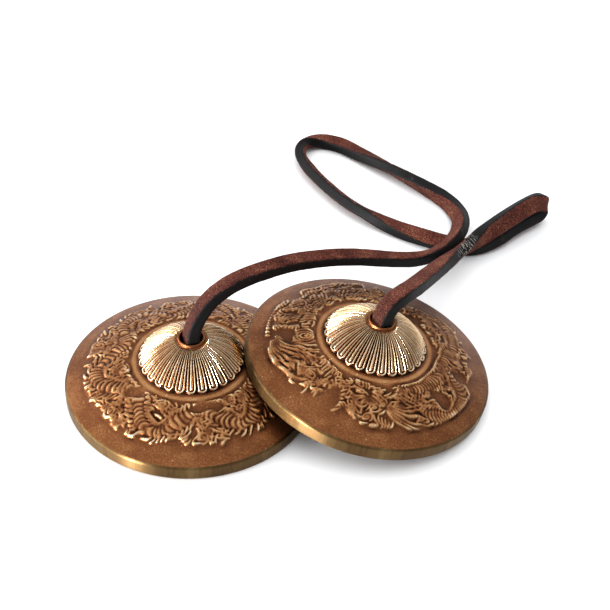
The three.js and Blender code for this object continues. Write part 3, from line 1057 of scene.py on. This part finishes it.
# %% Material of the thong
def leather():
    material = bpy.data.materials.new("suede_lace_with_dyed_edges")
    material.use_nodes = True
    tree = material.node_tree
    shader = tree.nodes["Principled BSDF"]
    shader.inputs["IOR"].default_value = 1.48
    shader.inputs["Specular IOR Level"].default_value = 0.15
    place = add(tree, "ShaderNodeTexCoord", out="Object")
    section = add(tree, "ShaderNodeAttribute", out="Vector", attribute_name="section")
    along = add(tree, "ShaderNodeAttribute", out="Fac", attribute_name="along")
    crease = add(tree, "ShaderNodeAttribute", out="Fac", attribute_name="crease")
    # 1 on the suede faces and 0 on the dyed ones, with a ragged line between them
    over = add(tree, "ShaderNodeSeparateXYZ", {0: section}, out="Y")
    over = add(tree, "ShaderNodeMath", {0: over}, operation="ABSOLUTE")
    ragged = add(tree, "ShaderNodeTexNoise", {"Vector": place, "Scale": 900.0, "Detail": 3.0})
    over = add(tree, "ShaderNodeMath", {0: ragged, 1: 0.9 * MM, 2: over},
               operation="MULTIPLY_ADD")
    suede = add(tree, "ShaderNodeMapRange", {"Value": over, "From Min": 1.85 * MM,
                                             "From Max": 2.05 * MM})
    # suede: patches, nap and pale specks
    patches = add(tree, "ShaderNodeTexNoise", {"Vector": place, "Scale": 160.0, "Detail": 4.0,
                                               "Roughness": 0.4})
    nap = add(tree, "ShaderNodeTexNoise", {"Vector": place, "Scale": 2600.0, "Detail": 3.0,
                                           "Roughness": 0.7})
    level = add(tree, "ShaderNodeMath", {0: patches, 1: 0.35, 2: nap},
                operation="MULTIPLY_ADD")
    suede_colour = ramp(tree, level, [(0.5, "#210b07"), (0.64, "#48211a"), (0.78, "#653628"),
                                      (0.92, "#9c7258")])
    # dyed edge: near-black with grey scuffs along it and pale cracks in the creases
    scuffs = add(tree, "ShaderNodeTexNoise", {"Vector": place, "Scale": 210.0, "Detail": 6.0,
                                              "Roughness": 0.72})
    scuffs = add(tree, "ShaderNodeMapRange", {"Value": scuffs, "From Min": 0.56,
                                              "From Max": 0.74})
    edge_colour = ramp(tree, scuffs, [(0.0, "#080606"), (0.6, "#151110"), (1.0, "#4a4542")])
    phase = add(tree, "ShaderNodeMath", {0: along, 1: 2 * math.pi / CREASE_PITCH},
                operation="MULTIPLY")
    uneven = add(tree, "ShaderNodeTexNoise", {"Vector": place, "Scale": 300.0})
    phase = add(tree, "ShaderNodeMath", {0: uneven, 1: CREASE_DRIFT, 2: phase},
                operation="MULTIPLY_ADD")
    lines = add(tree, "ShaderNodeMath", {0: phase}, operation="SINE")
    lines = add(tree, "ShaderNodeMapRange", {"Value": lines, "From Min": 0.55, "From Max": 0.95})
    broken = add(tree, "ShaderNodeTexNoise", {"Vector": place, "Scale": 1100.0, "Detail": 2.0})
    broken = add(tree, "ShaderNodeMapRange", {"Value": broken, "From Min": 0.44,
                                              "From Max": 0.56})
    cracks = add(tree, "ShaderNodeMath", {0: lines, 1: crease}, operation="MULTIPLY")
    cracks = add(tree, "ShaderNodeMath", {0: cracks, 1: broken}, operation="MULTIPLY")
    edge_colour = add(tree, "ShaderNodeMix", {"Factor": cracks, "A": edge_colour,
                                              "B": linear("#b9b2aa")}, data_type="RGBA")
    colour = add(tree, "ShaderNodeMix", {"Factor": suede, "A": edge_colour,
                                         "B": suede_colour}, data_type="RGBA")
    tree.links.new(colour, shader.inputs["Base Color"])
    rough = add(tree, "ShaderNodeMapRange", {"Value": suede, "To Min": 0.62, "To Max": 0.95})
    tree.links.new(rough, shader.inputs["Roughness"])
    fine = add(tree, "ShaderNodeMath", {0: nap, 1: suede}, operation="MULTIPLY")
    bump = add(tree, "ShaderNodeBump", {"Height": fine, "Strength": 0.55,
                                        "Distance": 0.15 * MM})
    tree.links.new(bump, shader.inputs["Normal"])
    return material


LEATHER = leather()
LACE_TREE = lace_tree(LEATHER)
print(LEATHER.name, "with", len(LEATHER.node_tree.nodes), "nodes")

# %% The lace's two halves


def lace_line(name, points, wide, sizes, creases, start=0.0):
    """An edge line whose points carry what the lace's tree needs."""
    mesh = bpy.data.meshes.new(name)
    mesh.from_pydata(points.tolist(), [(k, k + 1) for k in range(len(points) - 1)], [])
    runs = np.linalg.norm(np.diff(points, axis=0), axis=1)
    attribute(mesh, "wide_way", "FLOAT_VECTOR", wide)
    attribute(mesh, "size", "FLOAT", sizes)
    attribute(mesh, "crease", "FLOAT", creases)
    attribute(mesh, "along", "FLOAT", start + np.concatenate([[0], np.cumsum(runs)]))
    made = bpy.data.objects.new(name, mesh)
    bpy.context.scene.collection.objects.link(made)
    return made


def swept_lace(*facts, **more):
    """The lace's mesh along a line, from what lace_line is given."""
    made = run_tree(lace_line(*facts, **more), LACE_TREE, LACE)
    if outward_volume(made) < 0:
        made.data.flip_normals()
    made.data.shade_smooth()
    return made


seam = int(np.argmin(np.abs(lace_place - SEAM_POINT)))
PARTS = {"left": slice(0, seam + 1), "right": slice(seam, len(lace))}
halves = {}
for side, part in PARTS.items():
    halves[side] = swept_lace("thong_" + side, lace[part], wide_way[part], size[part],
                              crease[part], start=float(lace_reach[part.start]))
    run = lace_reach[part.stop - 1] - lace_reach[part.start]
    print(halves[side].name, round(run / MM, 1), "mm,", len(halves[side].data.polygons), "faces,",
          round(outward_volume(halves[side])), "mm3")

# %% [markdown]
# ### The stopper knots
# Each end of the thong is tied in an overhand knot under the crown, which keeps the bell on.
# A drawn-tight overhand knot goes once round itself and out through its own turn. Its line
# is given in millimetres from the knot's middle, with the bell's axis upwards.

# %% Overhand knots
KNOT = [
    (0, 0.2, 6.4), (0, 0.3, 4.2), (1, -0.3, 1.5), (1.8, -2.3, -0.5), (0.3, -3.6, -2.5),
    (-2.2, -2.9, -3.9), (-3.8, -0.4, -3.8), (-3.4, 2.2, -2.5), (-1.3, 3.3, -0.8),
    (1.3, 3.3, 0.8), (3.4, 2.2, 2.5), (3.8, -0.4, 3.8), (2.2, -2.9, 3.9), (-0.3, -3.6, 2.5),
    (-1.8, -2.3, 0.5), (-1, -0.3, -1.5), (0, 0.3, -4.2), (0.3, 0.2, -6.1),
]
KNOT_MIDDLE = 7.1  # above the bell's base
KNOT_SIZE = 0.86  # the lace is drawn thinner in the knot

knots = {}
for side in ("left", "right"):
    line = np.array([PLACES[side] @ Vector((x, y, z + KNOT_MIDDLE)) for x, y, z in KNOT]) * MM
    line, reach = evenly(centripetal(line)[0], LACE_STEP)
    _, flat, over = carried_frame(line)
    # the lace enters the knot as it left the hole
    first = wide_way[0] if side == "left" else wide_way[-1]
    angle = math.atan2(first @ over[0], first @ flat[0])
    flat = math.cos(angle) * flat + math.sin(angle) * over
    count = len(line)
    knots[side] = swept_lace("thong_knot_" + side, line, flat, np.full(count, KNOT_SIZE),
                             np.zeros(count))
    print(knots[side].name, "takes", round(reach[-1] / MM, 1), "mm of lace")

# %% [markdown]
# ## Who rides on what
# Each bell rides on its own body, so that it spins on its knot. Each knot rides on the body
# that swings under the lace. Each half of the lace stays fixed where it lies, in place of the
# CAD stretches of strap that are hidden.

# %% Rides, and what each piece stands for
STRETCHES = {"left": ("strap_left_run", "strap_hand_loop"),
             "right": ("strap_tip_loop", "strap_right_run")}

for side in ("left", "right"):
    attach(bells[side], side + "_cymbal")
    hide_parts("cymbal_" + side)
    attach(knots[side], side + "_knot")
    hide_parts("knot_" + side)
    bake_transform(halves[side])
    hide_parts(*STRETCHES[side])

# %% [markdown]
# ### The length of each half
# Each half of the thong is measured from the hidden seam under the crossing, where it leaves
# the other half, to its knot.

# %% Cords
for side, part in PARTS.items():
    path = lace[part] if side == "right" else lace[part][::-1]
    length = float(np.linalg.norm(np.diff(path, axis=0), axis=1).sum())
    print("cord", side, round(length / MM), "mm")

# %% [markdown]
# ## Floor and light
# The pair stands on a plain white floor. Metal shows what it mirrors, so the light is built
# for the mirror first. A low, wide window at the left gives the bright side of the domes. A
# small lamp at the front left is seen only in mirrored light, and puts the glints on the rim
# bands. A large soft light above reaches only matt surfaces, and keeps the floor white. The
# surround is palest high up at the back left and darkest low at the front right, so that the
# metal goes from bright to brown across each bell.

# %% Floor, surround and lights
FLOOR_HALF = 4.0
floor_mesh = bpy.data.meshes.new("floor")
floor_mesh.from_pydata([(-FLOOR_HALF, -FLOOR_HALF, 0), (FLOOR_HALF, -FLOOR_HALF, 0),
                        (FLOOR_HALF, FLOOR_HALF, 0), (-FLOOR_HALF, FLOOR_HALF, 0)],
                       [], [(0, 1, 2, 3)])
floor = bpy.data.objects.new("floor", floor_mesh)
bpy.context.scene.collection.objects.link(floor)
paper = bpy.data.materials.new("matt_white_paper")
paper.use_nodes = True
paper_shader = paper.node_tree.nodes["Principled BSDF"]
paper_shader.inputs["Base Color"].default_value = linear("#f4f4f4")
paper_shader.inputs["Roughness"].default_value = 0.9
floor_mesh.materials.append(paper)

LIGHTS = {  # place in metres, width and height in metres, power in watts
    "window_left": ((-0.9, -0.05, 0.27), (1.1, 0.42), 9.0),
    "glint_lamp_left": ((-0.56, -0.62, 0.14), (0.2, 0.2), 26.0),
    "fill_above": ((0.1, 0.0, 1.0), (1.4, 1.4), 8.5),
}
for name, (place, (width, height), power) in LIGHTS.items():
    light = bpy.data.lights.new(name, "AREA")
    light.energy, light.shape = power, "RECTANGLE"
    light.size, light.size_y = width, height
    stand = bpy.data.objects.new(name, light)
    stand.location = place
    stand.rotation_euler = (-Vector(place)).to_track_quat("-Z", "Y").to_euler()
    stand.visible_diffuse = not name.startswith("glint")
    stand.visible_glossy = not name.startswith("fill")
    bpy.context.scene.collection.objects.link(stand)

BRIGHTEST_WAY = (-0.35, 0.45, 0.82)
SURROUND_LOW, SURROUND_HIGH = 0.2, 1.35
world = bpy.data.worlds.new("pale_surround")
world.use_nodes = True
direction = add(world.node_tree, "ShaderNodeTexCoord", out="Generated")
bright = add(world.node_tree, "ShaderNodeVectorMath", {0: direction, 1: BRIGHTEST_WAY},
             out="Value", operation="DOT_PRODUCT")
bright = add(world.node_tree, "ShaderNodeMapRange",
             {"Value": bright, "From Min": -0.5, "From Max": 0.85,
              "To Min": SURROUND_LOW, "To Max": SURROUND_HIGH})
background = world.node_tree.nodes["Background"]
background.inputs["Color"].default_value = linear("#f2f4f7")
world.node_tree.links.new(bright, background.inputs["Strength"])
bpy.context.scene.world = world
bpy.context.scene.view_settings.view_transform = "Standard"
print(len(LIGHTS), "lights")
